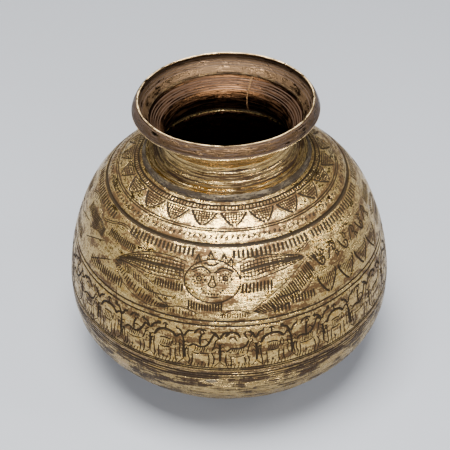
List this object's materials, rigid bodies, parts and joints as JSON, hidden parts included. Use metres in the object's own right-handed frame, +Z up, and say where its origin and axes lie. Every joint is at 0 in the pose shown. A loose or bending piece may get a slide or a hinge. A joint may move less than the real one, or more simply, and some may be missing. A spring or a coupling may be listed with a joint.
{
  "type": "lota water pot",
  "caption": "Round bellied engraved brass water pot with a short flared neck, turned-in mouth rim and a dished standing ring.",
  "frame": {"origin": "middle of the standing ring, on the surface the pot stands on", "axes": "+Z up along the pot's axis of revolution, -Y towards the engraved face panel, +X to the right of it"},
  "size_m": [0.165, 0.165, 0.1476],
  "materials": {
    "body_brass": "worn engraved brass, dark patina in the cuts, brown tarnish patches, fine turned streaks",
    "neck_brass": "turned brass outside, copper-brown and dull inside",
    "rim_brass": "handled brass with purple-brown tarnish and bright worn edges",
    "braze": "rough yellow brazing metal, slightly greyer than the sheet",
    "solder": "dull dark grey lead-tin solder, uneven"
  },
  "bodies": {
    "root": {"lower_bowl": "body_brass", "upper_bowl": "body_brass", "girth_braze": "braze", "neck_collar": "neck_brass", "neck_lap_braze": "braze", "neck_solder": "solder", "mouth_rim": "rim_brass", "rim_braze": "braze", "repair_solder": "solder"}
  },
  "joints": []
}
